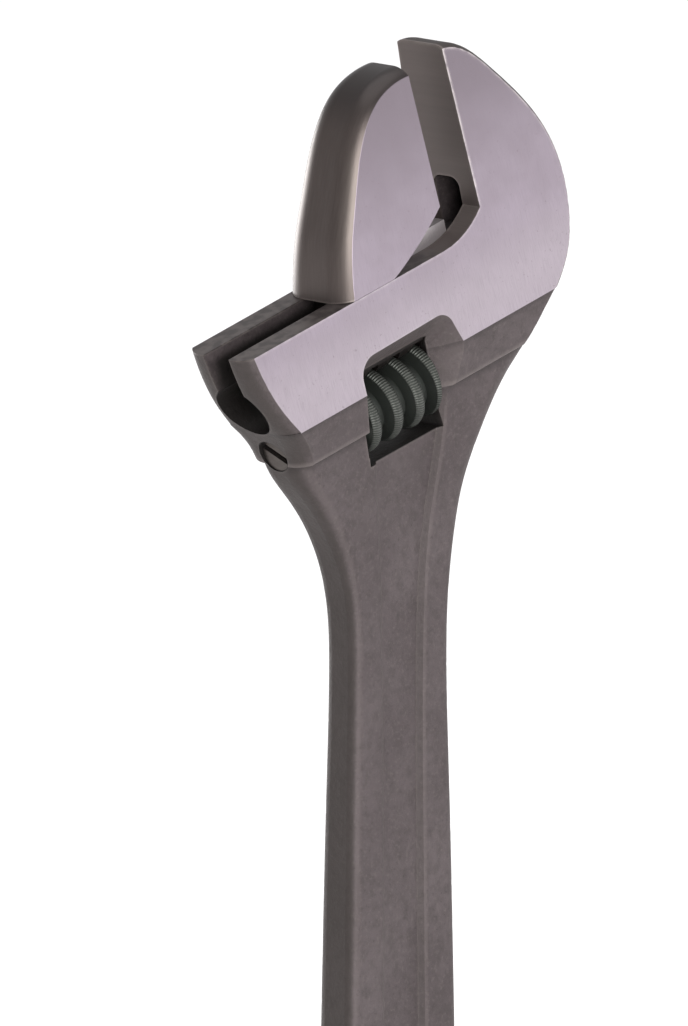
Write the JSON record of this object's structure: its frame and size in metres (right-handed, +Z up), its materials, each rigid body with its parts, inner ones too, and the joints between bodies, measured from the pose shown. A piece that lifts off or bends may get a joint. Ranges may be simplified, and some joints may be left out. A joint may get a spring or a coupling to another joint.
{
  "type": "adjustable wrench",
  "caption": "Forged adjustable wrench: angled head, sliding jaw driven by a knurled worm, I-section handle with hang hole.",
  "frame": {"origin": "centre of the hang hole, on the wrench's mid-plane", "axes": "+Z up the handle to the head, +X towards the fixed jaw, +Y towards the back face"},
  "size_m": [0.0688, 0.0142, 0.2577],
  "materials": {
    "body": "forged, dark phosphate coat with ground head faces",
    "movable_jaw": "ground side faces, satin dark back",
    "worm": "black oxide",
    "worm_pin": "black oxide",
    "worm_spring": "bright wire"
  },
  "bodies": {
    "body": {"body": "body", "worm_pin": "worm_pin", "worm_spring": "worm_spring"},
    "jaw": {"movable_jaw": "movable_jaw"},
    "worm": {"worm": "worm"}
  },
  "joints": [
    {"name": "jaw_slide", "type": "slide", "parent": "body", "child": "jaw", "axis": [0.9659, 0, 0.2588], "range_m": [-0.0233, 0.0076]},
    {"name": "worm_spin", "type": "hinge", "parent": "body", "child": "worm", "pos_m": [-0.00248, 0, 0.19382], "axis": [0.9659, 0, 0.2588], "range_deg": [-589.39, 1804.87]}
  ],
  "couplings": [
    {"joint": "worm_spin", "follows": "jaw_slide", "rad_per_m": -1351.2}
  ]
}
